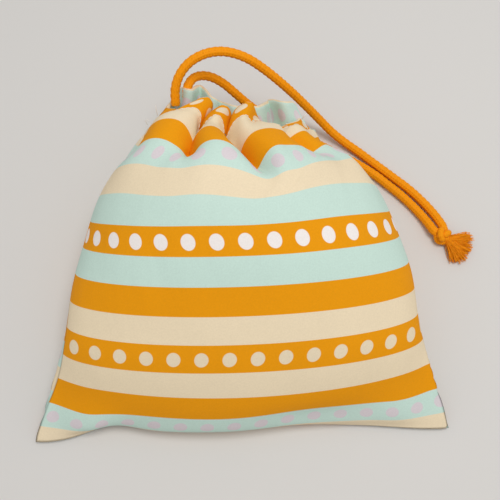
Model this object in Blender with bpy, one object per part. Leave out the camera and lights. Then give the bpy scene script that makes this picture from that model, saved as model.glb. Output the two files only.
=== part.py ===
"""Stuffed drawstring pouch of printed cotton, drawn shut and lying on its back.

The pouch is one sheet of cotton, folded at the bottom, seamed at both sides and
hemmed into a cord casing at the mouth.  The filling holds it plump.  Its outer
form is a loft: each ring runs once round the pouch at one height of the cloth,
over the front and back under the rear, between four guide lines.

Frame: metres, +Z up from the table, +Y from the bottom fold to the mouth, +X to
the right when looking from the bottom fold.  The origin is on the table under
the middle of the flat underside.
"""
import math

import bmesh
import bpy
from mathutils import Vector

MM = 0.001

# The cloth, laid flat
FLAT_WIDTH = 210 * MM
FLAT_HEIGHT = 195 * MM
CASING_DEPTH = 15 * MM

# The stuffed body, as it lies
CORNER_SPAN = 205 * MM
CORNER_SKEW = 3.4 * MM
BELLY_WIDTH = 170 * MM
LAID_LENGTH = 163 * MM
CREST_HEIGHT = 80 * MM
SEAM_HEIGHT = 30 * MM
CORNER_HEIGHT = 2.6 * MM
CORNER_THICKNESS = 1.6 * MM
EAR_REACH = 66 * MM
LEFT_EAR_NOTCH = 5 * MM
RIGHT_EAR_NOTCH = 0.5 * MM
UNDERSIDE_Y = 78 * MM

# The drawn mouth
MOUTH_WIDTH = 66 * MM
MOUTH_SHIFT = -4.5 * MM
NECK_WIDTH = 78 * MM
FRONT_LIP_REACH = 152 * MM
FRONT_LIP_HEIGHT = 53 * MM
REAR_LIP_REACH = 169 * MM
REAR_LIP_HEIGHT = 41 * MM
MOUTH_DISH = 5 * MM
HEM_ROUNDING = 1.4 * MM
PLEAT_DEPTH = 11 * MM
PLEAT_WIDTH = 9 * MM
PLEAT_CLEARANCE = 4.5 * MM
CASING_PUFF = 1.2 * MM

# The cord and what is on its end
CORD_DIAMETER = 5 * MM
CORD_CLEARANCE = 0.3 * MM
SOCKET_DEPTH = 5 * MM
KNOT_DIAMETER = 10 * MM
KNOT_HEIGHT = 9.6 * MM
TASSEL_LENGTH = 13 * MM
TASSEL_ROOT = 6 * MM
TASSEL_SPREAD = 18 * MM
TASSEL_THICKNESS = 4 * MM

# Facets
HALF_RING_STEPS = 50
BODY_RINGS = 50
CAP_STEPS = (0.08, 0.5)
CORD_STEP = 2 * CORD_DIAMETER

# Guide lines: share of the cloth's height, then a value at that height
HALF_WIDTH = (
    (0.0, CORNER_SPAN / 2),
    (0.13, CORNER_SPAN * 0.3 + BELLY_WIDTH * 0.2),
    (0.30, BELLY_WIDTH * 0.505),
    (0.42, BELLY_WIDTH * 0.49),
    (0.55, BELLY_WIDTH * 0.455),
    (0.65, BELLY_WIDTH * 0.42),
    (0.73, BELLY_WIDTH * 0.37),
    (0.80, BELLY_WIDTH * 0.295),
    (0.88, NECK_WIDTH / 2),
    (0.94, NECK_WIDTH * 0.25 + MOUTH_WIDTH * 0.25),
    (1.0, MOUTH_WIDTH / 2),
)
CENTRE_X = ((0.0, 0.0), (0.4, 0.0), (0.7, MOUTH_SHIFT * 0.6), (0.86, MOUTH_SHIFT * 1.7), (1.0, MOUTH_SHIFT))
SKEW_Y = ((0.0, CORNER_SKEW), (0.6, CORNER_SKEW * 0.8), (1.0, -CORNER_SKEW * 0.5))
SEAM_Y = (
    (0.0, 0.0),
    (0.13, LAID_LENGTH * 0.13),
    (0.30, LAID_LENGTH * 0.31),
    (0.46, LAID_LENGTH * 0.49),
    (0.65, LAID_LENGTH * 0.71),
    (0.84, LAID_LENGTH * 0.90),
    (1.0, (FRONT_LIP_REACH + REAR_LIP_REACH) / 2),
)
SEAM_Z = (
    (0.0, CORNER_HEIGHT),
    (0.13, SEAM_HEIGHT * 0.42),
    (0.30, SEAM_HEIGHT * 0.84),
    (0.46, SEAM_HEIGHT),
    (0.70, SEAM_HEIGHT * 1.08),
    (0.88, SEAM_HEIGHT * 0.6 + FRONT_LIP_HEIGHT * 0.35),
    (1.0, (FRONT_LIP_HEIGHT + REAR_LIP_HEIGHT) / 2),
)
FRONT_Y = (
    (0.0, LAID_LENGTH * 0.036),
    (0.05, LAID_LENGTH * 0.008),
    (0.115, LAID_LENGTH * 0.038),
    (0.25, LAID_LENGTH * 0.15),
    (0.39, LAID_LENGTH * 0.29),
    (0.53, LAID_LENGTH * 0.434),
    (0.665, LAID_LENGTH * 0.59),
    (0.735, LAID_LENGTH * 0.672),
    (0.83, LAID_LENGTH * 0.785),
    (0.94, LAID_LENGTH * 0.896),
    (1.0, FRONT_LIP_REACH),
)
FRONT_Z = (
    (0.0, CREST_HEIGHT * 0.045),
    (0.05, CREST_HEIGHT * 0.13),
    (0.115, CREST_HEIGHT * 0.27),
    (0.25, CREST_HEIGHT * 0.51),
    (0.39, CREST_HEIGHT * 0.70),
    (0.53, CREST_HEIGHT * 0.87),
    (0.665, CREST_HEIGHT * 0.98),
    (0.735, CREST_HEIGHT),
    (0.83, CREST_HEIGHT * 0.93),
    (0.94, FRONT_LIP_HEIGHT * 1.12),
    (1.0, FRONT_LIP_HEIGHT),
)
REAR_Y = (
    (0.0, LAID_LENGTH * 0.036),
    (0.05, LAID_LENGTH * 0.04),
    (0.12, LAID_LENGTH * 0.09),
    (0.40, LAID_LENGTH * 0.42),
    (0.65, LAID_LENGTH * 0.68),
    (0.80, LAID_LENGTH * 0.83),
    (1.0, REAR_LIP_REACH),
)
REAR_Z = (
    (0.0, CREST_HEIGHT * 0.045),
    (0.05, 0.0),
    (0.12, -CREST_HEIGHT * 0.04),
    (0.40, -CREST_HEIGHT * 0.10),
    (0.62, -CREST_HEIGHT * 0.07),
    (0.74, 0.0),
    (0.88, REAR_LIP_HEIGHT * 0.55),
    (1.0, REAR_LIP_HEIGHT),
)

# Where the front is drawn along by its tucks: place from the middle and width there, height up the
# cloth and width there, lift, in millimetres
FRONT_TUCKS = (
    (-80, 16, 15, 11, -6),
    (84, 17, 16, 11, -3.6),
    (30, 26, 16, 11, 3.2),
    (46, 22, 139, 20, 5.5),
)

# Pleats at the mouth, and the lobes between them, whose depth is negative: place across one side at
# the rim and at the foot, depth, reach down the cloth
FRONT_PLEATS = (
    (0.05, 0.05, 0.35, 0.20),
    (0.15, 0.14, -0.65, 0.30),
    (0.26, 0.23, 1.30, 0.34),
    (0.39, 0.38, 0.45, 0.12),
    (0.46, 0.48, -0.50, 0.28),
    (0.53, 0.59, 1.40, 0.38),
    (0.64, 0.70, -0.40, 0.32),
    (0.74, 0.80, 1.50, 0.34),
    (0.84, 0.88, -0.20, 0.24),
    (0.93, 0.94, 0.40, 0.24),
)
REAR_PLEATS = (
    (0.05, 0.05, -0.50, 0.24),
    (0.17, 0.17, 0.90, 0.26),
    (0.26, 0.26, -1.00, 0.34),
    (0.36, 0.36, 1.00, 0.30),
    (0.505, 0.50, 0.75, 0.24),
    (0.65, 0.65, 1.15, 0.30),
    (0.75, 0.75, -0.50, 0.30),
    (0.84, 0.84, 0.90, 0.30),
    (0.94, 0.94, -0.70, 0.30),
)

# Cord routes, from the side seam's slit to the knot, in millimetres from the bottom fold
KNOT_CENTRE = (108.5, 104.5, 5.2)
TASSEL_TIP = (122.5, 96.5)
STRAND_OVER_ROUTE = (
    (-35, 162.5, 44), (-34.8, 168.5, 49.5), (-32.2, 174, 54), (-27, 179, 57.4), (-19.8, 182.6, 59),
    (-12.2, 184.6, 58.6), (-5, 185, 56.6), (2.4, 184.3, 53), (10, 182.7, 47.3), (18.3, 180.4, 39.8),
    (27.2, 177.8, 30.6), (36, 175, 20.6), (43.4, 172, 12.6), (50.2, 168, 7), (57.6, 163, 4),
    (65.2, 157.6, 2.8), (71.9, 151.9, 2.7), (78.5, 146.2, 2.7), (85.3, 140.3, 2.7), (91.8, 134.6, 2.7),
    (97.4, 128.8, 2.7), (102.4, 122.6, 2.9), (106.2, 116.4, 3.8), (108.9, 110.2, 5),
)
STRAND_BEHIND_ROUTE = (
    (-29.5, 167.5, 41), (-29.3, 173.5, 43.4), (-26.4, 179, 43.4), (-21.6, 182.3, 41), (-16, 183, 37.8),
    (-10.4, 181.8, 33.8), (-4.8, 179.4, 29), (0.8, 177.2, 23.6), (7.4, 175.2, 17.4), (15, 173.4, 11.2),
    (24, 171, 6.2), (34, 167, 3.4), (45, 161, 2.7), (56, 154.6, 2.7), (66, 148.6, 2.7),
    (74.7, 142.2, 2.7), (80.9, 136.6, 2.7), (87.2, 130.8, 2.7), (93, 124.6, 2.7), (97.8, 118.6, 2.8),
    (101.3, 112.9, 3.8), (103.9, 107.7, 5),
)


def line_value(knots, share):
    """Read a smooth curve through (share, value) knots that keeps their rises and falls."""
    spans = list(zip(knots, knots[1:]))
    slopes = [(b[1] - a[1]) / (b[0] - a[0]) for a, b in spans]
    tangents = [slopes[0]]
    for before, after in zip(slopes, slopes[1:]):
        same_way = before * after > 0
        tangents.append(2 * before * after / (before + after) if same_way else 0.0)
    tangents.append(slopes[-1])
    for index, (start, end) in enumerate(spans):
        if share <= end[0] or index == len(spans) - 1:
            width = end[0] - start[0]
            u = (share - start[0]) / width
            return (
                (2 * u**3 - 3 * u**2 + 1) * start[1]
                + (u**3 - 2 * u**2 + u) * width * tangents[index]
                + (3 * u**2 - 2 * u**3) * end[1]
                + (u**3 - u**2) * width * tangents[index + 1]
            )


def ease(value):
    """Rise smoothly from 0 to 1 while the value does."""
    value = min(max(value, 0.0), 1.0)
    return value * value * (3 - 2 * value)


def seam_ends(share):
    """The left and right side seams at one height of the cloth."""
    centre = Vector((line_value(CENTRE_X, share), line_value(SEAM_Y, share), line_value(SEAM_Z, share)))
    half = Vector((line_value(HALF_WIDTH, share), line_value(SKEW_Y, share), 0))
    return centre - half, centre + half


def smooth_point(share, across, front):
    """A point of the body without its pleats; across runs from 0 at the left seam to 1 at the right."""
    left, right = seam_ends(share)
    centre = (left + right) / 2
    guides = (FRONT_Y, FRONT_Z) if front else (REAR_Y, REAR_Z)
    crest = Vector((centre.x, line_value(guides[0], share), line_value(guides[1], share)))
    angle = (across - 0.5) * math.pi
    roundness = ease(share / 0.3)
    sideways = roundness * math.sin(angle) + (1 - roundness) * (2 * across - 1)
    fullness = 1.0 if front else 0.75
    power = fullness * roundness + 1.5 * (1 - roundness)
    rise = max(math.cos(angle), 0.0) ** power
    point = centre + (right - left) / 2 * sideways + (crest - centre) * rise
    from_ear = (abs(point.x) - EAR_REACH) / (EAR_REACH * 0.25)
    notch = LEFT_EAR_NOTCH if point.x < 0 else RIGHT_EAR_NOTCH
    point.y += notch * math.exp(-from_ear**2) * (1 - ease(share / 0.12))
    for place, wide, height, tall, lift in FRONT_TUCKS if front else ():
        near = math.exp(-((point.x / MM - place) / wide) ** 2) * min(1.0, 8 * across * (1 - across))
        near *= math.exp(-((share * FLAT_HEIGHT / MM - height) / tall) ** 2) * ease(share / 0.03)
        point.y += lift * MM * near
    shell = CORNER_THICKNESS / 2 * ease(share / 0.04) * min(1.0, 8 * across * (1 - across))
    point.z += shell if front else -shell
    return point


def pleat_inset(share, across, pleats):
    """How far the gathered cloth sinks in near the mouth, front and rear kept apart."""
    inset = 0.0
    gap = (smooth_point(share, across, True) - smooth_point(share, across, False)).length
    room = max((gap - PLEAT_CLEARANCE) / 2, 0.0)
    for rim_place, foot_place, depth, reach in pleats:
        run = ease((share - 1 + reach) / reach)
        place = foot_place + (rim_place - foot_place) * run
        off = (across - place) * FLAT_WIDTH / PLEAT_WIDTH
        inset += PLEAT_DEPTH * depth * run * math.exp(-off**2)
    if inset <= 0:
        return inset
    return room * math.tanh(inset / room) if room > 0 else 0.0


def casing_bulge(share):
    """How far the cord in its casing lifts the cloth, with a waist at the stitched line."""
    start = 1 - CASING_DEPTH / FLAT_HEIGHT
    inside = (share - start) / (1 - start)
    if inside > 0:
        return CASING_PUFF * math.sin(math.pi * min(inside, 1.0))
    return -CASING_PUFF * 0.5 * math.exp(-(inside * 1.6) ** 2)


def body_point(share, across, front):
    """A point of the body's outer face, with pleats and casing, and flat where it rests."""
    step = 0.004
    low, high = max(across - step, 0.0), min(across + step, 1.0)
    here = smooth_point(share, across, front)
    along = smooth_point(share, high, front) - smooth_point(share, low, front)
    below = smooth_point(max(share - step, 0.0), across, front)
    above = smooth_point(min(share + step, 1.0), across, front)
    outward = along.cross(above - below).normalized()
    if not front:
        outward.negate()
    pleats = FRONT_PLEATS if front else REAR_PLEATS
    near_seam = ease(min(across, 1 - across) / 0.06)
    here += outward * (casing_bulge(share) - pleat_inset(share, across, pleats)) * near_seam
    here.z = max(here.z, 0.0)
    return here


def to_table(point):
    """Place a point measured from the bottom fold in the part's frame."""
    return Vector((point[0], point[1] - UNDERSIDE_Y, point[2]))


def material(name, colour, roughness):
    """A plain Principled material."""
    made = bpy.data.materials.new(name)
    made.use_nodes = True
    shader = made.node_tree.nodes["Principled BSDF"]
    shader.inputs["Base Color"].default_value = (*colour, 1.0)
    shader.inputs["Roughness"].default_value = roughness
    made.diffuse_color = (*colour, 1.0)
    return made


def add_object(name, data, finish):
    """Link a new object with its material."""
    made = bpy.data.objects.new(name, data)
    data.materials.append(finish)
    bpy.context.scene.collection.objects.link(made)
    return made


def mesh_object(name, shape, finish):
    """Turn a bmesh into a smooth shaded object with its faces pointing out."""
    bmesh.ops.recalc_face_normals(shape, faces=shape.faces)
    bmesh.ops.triangulate(shape, faces=shape.faces)
    data = bpy.data.meshes.new(name)
    shape.to_mesh(data)
    shape.free()
    data.shade_smooth()
    return add_object(name, data, finish)


def ring_places(steps):
    """Places round the pouch: left seam, front, right seam, rear."""
    front = [(index / steps, True) for index in range(steps + 1)]
    rear = [(index / steps, False) for index in range(steps - 1, 0, -1)]
    return front + rear


def fold_line(points, steps, shape):
    """One row of vertices that the front and the rear share, in the order of a ring."""
    row = [shape.verts.new(to_table(point)) for point in points]
    return row + [row[index] for index in range(steps - 1, 0, -1)]


def build_body():
    """The stuffed cloth body: rings from the bottom fold to the hem, then the dished mouth."""
    shape = bmesh.new()
    steps = HALF_RING_STEPS
    places = ring_places(steps)
    fold = [body_point(0.0, index / steps, True) for index in range(steps + 1)]
    rows = [fold_line(fold, steps, shape)]
    hem = []
    for ring in range(1, BODY_RINGS + 1):
        share = (ring / BODY_RINGS) ** 0.92
        hem = [body_point(share, across, front) for across, front in places]
        rows.append([shape.verts.new(to_table(point)) for point in hem])
    left, right = seam_ends(1.0)
    inward = Vector((0, FRONT_LIP_HEIGHT - REAR_LIP_HEIGHT, REAR_LIP_REACH - FRONT_LIP_REACH)).normalized() * -1
    slit = []
    for across, _ in places:
        along = 0.5 + 0.42 * math.sin((across - 0.5) * math.pi)
        slit.append(left.lerp(right, along) + inward * MOUTH_DISH)
    for part in CAP_STEPS:
        rise = inward * (-HEM_ROUNDING if part == CAP_STEPS[0] else 0.0)
        ring = [edge.lerp(middle, part) + rise for edge, middle in zip(hem, slit)]
        rows.append([shape.verts.new(to_table(point)) for point in ring])
    rows.append(fold_line(slit[:steps + 1], steps, shape))
    for lower, upper in zip(rows, rows[1:]):
        for index in range(len(places)):
            after = (index + 1) % len(places)
            corners = (lower[index], lower[after], upper[after], upper[index])
            distinct = [corner for spot, corner in enumerate(corners) if corner not in corners[:spot]]
            if len(distinct) > 2:
                shape.faces.new(distinct)
    body = mesh_object("pouch_body", shape, material("printed cotton", (0.80, 0.55, 0.18), 0.9))
    for name, route in (("over", STRAND_OVER_ROUTE), ("behind", STRAND_BEHIND_ROUTE)):
        cut_socket(body, "cord_slit_" + name, route)
    return body


def cut_socket(body, name, route):
    """Open the casing where a cord strand comes out of the side seam's slit."""
    start, towards = (Vector(to_table([value * MM for value in point])) for point in route[:2])
    direction = (towards - start).normalized()
    length = SOCKET_DEPTH * 3
    shape = bmesh.new()
    bmesh.ops.create_cone(
        shape, cap_ends=True, segments=16, depth=length,
        radius1=CORD_DIAMETER / 2 + CORD_CLEARANCE, radius2=CORD_DIAMETER / 2 + CORD_CLEARANCE,
    )
    cutter = mesh_object(name, shape, body.data.materials[0])
    cutter.location = start + direction * (length / 2 - CORD_CLEARANCE)
    cutter.rotation_mode = "QUATERNION"
    cutter.rotation_quaternion = direction.to_track_quat("Z", "Y")
    cutter.hide_render = True
    cutter.display_type = "WIRE"
    cut = body.modifiers.new(name, "BOOLEAN")
    cut.operation = "DIFFERENCE"
    cut.object = cutter


def smooth_route(points, step):
    """Evenly spaced points on a smooth curve through the route's own points."""
    ends = [points[0] * 2 - points[1], *points, points[-1] * 2 - points[-2]]
    fine = []
    for before, start, end, after in zip(ends, ends[1:], ends[2:], ends[3:]):
        for part in range(12):
            u = part / 12
            fine.append(0.5 * (
                start * 2 + (end - before) * u
                + (before * 2 - start * 5 + end * 4 - after) * u**2
                + (start * 3 - before - end * 3 + after) * u**3
            ))
    fine.append(points[-1])
    lengths = [(b - a).length for a, b in zip(fine, fine[1:])]
    count = max(round(sum(lengths) / step), 2)
    spacing = sum(lengths) / count
    spaced = [fine[0]]
    travelled = 0.0
    for start, end, length in zip(fine, fine[1:], lengths):
        while len(spaced) < count and travelled + length >= spacing * len(spaced):
            spaced.append(start.lerp(end, (spacing * len(spaced) - travelled) / length))
        travelled += length
    return [*spaced, fine[-1]]


def build_strand(name, route, finish):
    """One round strand of the drawcord along its route."""
    points = [to_table([value * MM for value in point]) for point in route]
    data = bpy.data.curves.new(name, "CURVE")
    data.dimensions = "3D"
    data.bevel_depth = CORD_DIAMETER / 2
    data.bevel_resolution = 2
    data.use_fill_caps = True
    spaced = smooth_route(points, CORD_STEP)
    spline = data.splines.new("POLY")
    spline.points.add(len(spaced) - 1)
    for target, point in zip(spline.points, spaced):
        target.co = (*point, 1.0)
    return add_object(name, data, finish)


def build_knot(finish):
    """The overhand knot that ties both strands: a ball with three turns round it."""
    shape = bmesh.new()
    bmesh.ops.create_uvsphere(shape, u_segments=24, v_segments=14, radius=0.5)
    for vert in shape.verts:
        turn = math.atan2(vert.co.y, vert.co.x)
        tilt = math.asin(max(-1.0, min(1.0, vert.co.z * 2)))
        groove = 1 - 0.05 * (1 + math.cos(3 * tilt * 2 + turn))
        vert.co = Vector((vert.co.x * KNOT_DIAMETER, vert.co.y * KNOT_DIAMETER, vert.co.z * KNOT_HEIGHT)) * groove
    knot = mesh_object("knot", shape, finish)
    knot.location = to_table([value * MM for value in KNOT_CENTRE])
    return knot


def build_tassel(finish):
    """The frayed cord ends past the knot: a flat fan of bundles that lies on the table."""
    centre = Vector([value * MM for value in KNOT_CENTRE])
    tip = Vector((TASSEL_TIP[0] * MM, TASSEL_TIP[1] * MM, centre.z))
    direction = (tip - centre).normalized()
    side = Vector((-direction.y, direction.x, 0))
    root = centre + direction * (KNOT_DIAMETER / 2 + CORD_CLEARANCE)
    around, stations = 28, 7
    shape = bmesh.new()
    rings = []
    for station in range(stations + 1):
        along = station / stations
        spread = TASSEL_ROOT + (TASSEL_SPREAD - TASSEL_ROOT) * along**1.2
        thick = TASSEL_THICKNESS * (1 - 0.35 * along)
        height = centre.z * (1 - ease(along * 1.6)) + (thick / 2 + CORD_CLEARANCE) * ease(along * 1.6)
        ring = []
        for index in range(around):
            angle = 2 * math.pi * index / around
            bundle = 1 + 0.10 * along * math.cos(7 * angle)
            reach = TASSEL_LENGTH * along * (1 - 0.22 * abs(math.cos(angle)) ** 2 * along)
            point = root + direction * reach + side * (spread / 2 * math.cos(angle) * bundle)
            point.z = height + thick / 2 * math.sin(angle) * bundle
            ring.append(shape.verts.new(to_table(point)))
        rings.append(ring)
    for lower, upper in zip(rings, rings[1:]):
        for index in range(around):
            after = (index + 1) % around
            shape.faces.new((lower[index], lower[after], upper[after], upper[index]))
    shape.faces.new(rings[0])
    shape.faces.new(rings[-1])
    return mesh_object("tassel", shape, finish)


def main():
    """Clear the scene and build every piece."""
    for old in list(bpy.data.objects):
        bpy.data.objects.remove(old, do_unlink=True)
    build_body()
    cord = material("braided cord", (0.95, 0.36, 0.0), 0.7)
    build_strand("cord_strand_over", STRAND_OVER_ROUTE, cord)
    build_strand("cord_strand_behind", STRAND_BEHIND_ROUTE, cord)
    build_knot(cord)
    build_tassel(material("frayed cord ends", (0.68, 0.30, 0.0), 0.85))


main()
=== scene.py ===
"""Printed cotton drawstring pouch, stuffed, drawn shut and lying on its back.

The CAD frame is loaded first and never moved.  The cloth body is a grid in the
sheet's own flat coordinates.  It is laid over the stuffed form, gathered onto
its cord and relaxed as cloth, so the print, the weave and the wrinkles all
follow the sheet.  The cord is braided from real yarns along its two strands.
"""
from __future__ import annotations

import logging
import math
from collections.abc import Callable
from dataclasses import dataclass, field
from enum import Enum

import bmesh
import bpy
import numpy as np
from mathutils import Euler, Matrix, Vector
from mathutils.bvhtree import BVHTree

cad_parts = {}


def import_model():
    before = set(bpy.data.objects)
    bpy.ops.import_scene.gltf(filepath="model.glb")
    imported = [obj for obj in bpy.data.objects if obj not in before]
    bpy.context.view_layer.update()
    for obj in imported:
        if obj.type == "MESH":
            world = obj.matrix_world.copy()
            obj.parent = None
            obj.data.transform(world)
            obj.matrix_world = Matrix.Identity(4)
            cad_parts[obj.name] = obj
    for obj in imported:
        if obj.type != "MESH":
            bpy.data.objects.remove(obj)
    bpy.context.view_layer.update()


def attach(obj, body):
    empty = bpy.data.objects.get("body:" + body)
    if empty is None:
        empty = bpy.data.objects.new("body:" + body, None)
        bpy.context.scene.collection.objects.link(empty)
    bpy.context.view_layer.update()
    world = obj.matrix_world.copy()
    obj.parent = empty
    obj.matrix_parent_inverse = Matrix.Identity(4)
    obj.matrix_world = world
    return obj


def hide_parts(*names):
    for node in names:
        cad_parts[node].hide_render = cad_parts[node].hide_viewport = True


log = logging.getLogger("pouch")

MM = 0.001
FLAT_WIDTH = 210.0
FLAT_HEIGHT = 195.0
GIRTH = 2 * FLAT_WIDTH
UNDERSIDE_Y = 78.0
Array = np.ndarray
Point = tuple[float, float, float]
Links = dict[str | int, object]
Knots = tuple[tuple[float, float], ...]


def smooth_line(knots: Knots, share: Array) -> Array:
    """Read a smooth curve through knots that keeps their rises and falls.

    Args:
        knots: Pairs of a share of the cloth's height and a value there.
        share: The shares to read the curve at.

    Returns:
        The curve's values, one for each share.
    """
    spots = np.array([knot[0] for knot in knots])
    values = np.array([knot[1] for knot in knots])
    widths = np.diff(spots)
    slopes = np.diff(values) / widths
    both = slopes[:-1] * slopes[1:]
    total = np.where(np.abs(slopes[:-1] + slopes[1:]) < 1e-12, 1.0, slopes[:-1] + slopes[1:])
    inner = np.where(both > 0, 2 * both / total, 0.0)
    tangents = np.concatenate([slopes[:1], inner, slopes[-1:]])
    index = np.clip(np.searchsorted(spots, share, side="right") - 1, 0, len(widths) - 1)
    width = widths[index]
    u = (share - spots[index]) / width
    return (
        (2 * u**3 - 3 * u**2 + 1) * values[index]
        + (u**3 - 2 * u**2 + u) * width * tangents[index]
        + (3 * u**2 - 2 * u**3) * values[index + 1]
        + (u**3 - u**2) * width * tangents[index + 1]
    )


def ease(value: Array | float) -> Array:
    """Rise smoothly from 0 to 1 while the value does."""
    value = np.clip(value, 0.0, 1.0)
    return value * value * (3 - 2 * value)


def unit(vectors: Array) -> Array:
    """Scale each vector to length one."""
    return vectors / np.maximum(np.linalg.norm(vectors, axis=-1, keepdims=True), 1e-9)


def ring_length(ring: Array) -> float:
    """The length of a closed ring."""
    return float(np.linalg.norm(np.roll(ring, -1, axis=0) - ring, axis=1).sum())


def bump(value: Array | float, middle: float, width: float) -> Array:
    """A smooth rise to 1 at the middle."""
    return np.exp(-(((value - middle) / width) ** 2))


def in_part(points: Array) -> Array:
    """Points measured in millimetres from the bottom fold, in metres in the part's frame."""
    return (np.asarray(points, dtype=float) - (0, UNDERSIDE_Y, 0)) * MM


def link_object(name: str, data: bpy.types.ID) -> bpy.types.Object:
    """Put an object that shows some data into the scene."""
    made = bpy.data.objects.new(name, data)
    bpy.context.scene.collection.objects.link(made)
    return made


@dataclass
class StuffedForm:
    """The smooth outer form of the filled pouch, in millimetres from the bottom fold.

    A ring runs once round the pouch at one height of the cloth.  The guide
    lines give, against the share of the cloth's height, the half width, the
    side seams, the front's crest and the rear.
    """

    corner_span: float = 205.0
    corner_skew: float = 3.4
    belly_width: float = 170.0
    laid_length: float = 163.0
    crest_height: float = 80.0
    seam_height: float = 30.0
    corner_height: float = 2.6
    corner_thickness: float = 1.6
    ear_reach: float = 66.0
    left_ear_notch: float = 5.0
    right_ear_notch: float = 0.5
    tucks: tuple[tuple[float, float, float, float, float], ...] = (
        (-80.0, 16.0, 15.0, 11.0, -6.0), (84.0, 17.0, 16.0, 11.0, -3.6), (30.0, 26.0, 16.0, 11.0, 3.2),
        (46.0, 22.0, 139.0, 20.0, 5.5),
    )
    mouth_width: float = 66.0
    mouth_shift: float = -4.5
    front_lip: tuple[float, float] = (152.0, 53.0)
    rear_lip: tuple[float, float] = (169.0, 41.0)
    ring_samples: int = 200

    def guides(self) -> dict[str, Knots]:
        """The guide lines as knots, worked out from the form's sizes."""
        length, crest, belly, seam = self.laid_length, self.crest_height, self.belly_width, self.seam_height
        mouth, skew = self.mouth_width, self.corner_skew
        middle_y = (self.front_lip[0] + self.rear_lip[0]) / 2
        middle_z = (self.front_lip[1] + self.rear_lip[1]) / 2
        return {
            "half_width": (
                (0.0, self.corner_span / 2), (0.13, self.corner_span * 0.3 + belly * 0.2),
                (0.30, belly * 0.505), (0.42, belly * 0.49), (0.55, belly * 0.455),
                (0.65, belly * 0.42), (0.73, belly * 0.37), (0.80, belly * 0.295),
                (0.88, mouth * 0.62), (0.94, mouth * 0.57), (1.0, mouth / 2),
            ),
            "centre_x": (
                (0.0, 0.0), (0.4, 0.0), (0.7, self.mouth_shift * 0.6), (0.86, self.mouth_shift * 1.7),
                (1.0, self.mouth_shift),
            ),
            "skew_y": ((0.0, skew), (0.6, skew * 0.8), (1.0, -skew * 0.5)),
            "seam_y": (
                (0.0, 0.0), (0.13, length * 0.13), (0.30, length * 0.31), (0.46, length * 0.49),
                (0.65, length * 0.71), (0.84, length * 0.90), (1.0, middle_y),
            ),
            "seam_z": (
                (0.0, self.corner_height), (0.13, seam * 0.42), (0.30, seam * 0.84), (0.46, seam),
                (0.70, seam * 1.08), (0.88, seam * 0.6 + self.front_lip[1] * 0.35), (1.0, middle_z),
            ),
            "front_y": (
                (0.0, length * 0.036), (0.05, length * 0.008), (0.115, length * 0.038), (0.25, length * 0.15),
                (0.39, length * 0.29), (0.53, length * 0.434), (0.665, length * 0.59),
                (0.735, length * 0.672), (0.83, length * 0.785), (0.94, length * 0.896),
                (1.0, self.front_lip[0]),
            ),
            "front_z": (
                (0.0, crest * 0.045), (0.05, crest * 0.13), (0.115, crest * 0.27), (0.25, crest * 0.51),
                (0.39, crest * 0.70), (0.53, crest * 0.87), (0.665, crest * 0.98), (0.735, crest),
                (0.83, crest * 0.93), (0.94, self.front_lip[1] * 1.12), (1.0, self.front_lip[1]),
            ),
            "rear_y": (
                (0.0, length * 0.036), (0.05, length * 0.04), (0.12, length * 0.09), (0.40, length * 0.42),
                (0.65, length * 0.68), (0.80, length * 0.83), (1.0, self.rear_lip[0]),
            ),
            "rear_z": (
                (0.0, crest * 0.045), (0.05, 0.0), (0.12, -crest * 0.04), (0.40, -crest * 0.10),
                (0.62, -crest * 0.07), (0.74, 0.0), (0.88, self.rear_lip[1] * 0.55), (1.0, self.rear_lip[1]),
            ),
        }

    def rings(self, share: Array) -> Array:
        """Dense rings of the form.

        Args:
            share: The ring's shares of the cloth's height.

        Returns:
            Points of shape (rings, 2 * ring_samples, 3), from the left seam over
            the front to the right seam, and back under the rear.
        """
        line = {name: smooth_line(knots, share)[:, None] for name, knots in self.guides().items()}
        across = np.linspace(0, 1, self.ring_samples + 1)[None, :]
        angle = (across - 0.5) * math.pi
        roundness = ease(share / 0.3)[:, None]
        sideways = roundness * np.sin(angle) + (1 - roundness) * (2 * across - 1)
        halves = []
        for side, fullness in (("front", 1.0), ("rear", 0.75)):
            power = fullness * roundness + 1.5 * (1 - roundness)
            rise = np.maximum(np.cos(angle), 0.0) ** power
            x = line["centre_x"] + line["half_width"] * sideways
            y = line["seam_y"] + line["skew_y"] * sideways + (line[side + "_y"] - line["seam_y"]) * rise
            z = line["seam_z"] + (line[side + "_z"] - line["seam_z"]) * rise
            from_ear = (np.abs(x) - self.ear_reach) / (self.ear_reach * 0.25)
            notch = np.where(x < 0, self.left_ear_notch, self.right_ear_notch)
            y = y + notch * np.exp(-(from_ear**2)) * (1 - ease(share / 0.12))[:, None]
            for at, wide, height, tall, lift in self.tucks if side == "front" else ():
                near = bump(x, at, wide) * np.minimum(1.0, 8 * across * (1 - across))
                up = bump(share * FLAT_HEIGHT, height, tall) * ease(share / 0.03)
                y = y + lift * near * up[:, None]
            shell = self.corner_thickness / 2 * ease(share / 0.04)[:, None]
            shell = shell * np.minimum(1.0, 8 * across * (1 - across))
            z = z + (shell if side == "front" else -shell)
            halves.append(np.stack([x, y, np.maximum(z, 0.0)], axis=-1))
        front, rear = halves
        return np.concatenate([front[:, :-1], rear[:, :0:-1]], axis=1)


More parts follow.
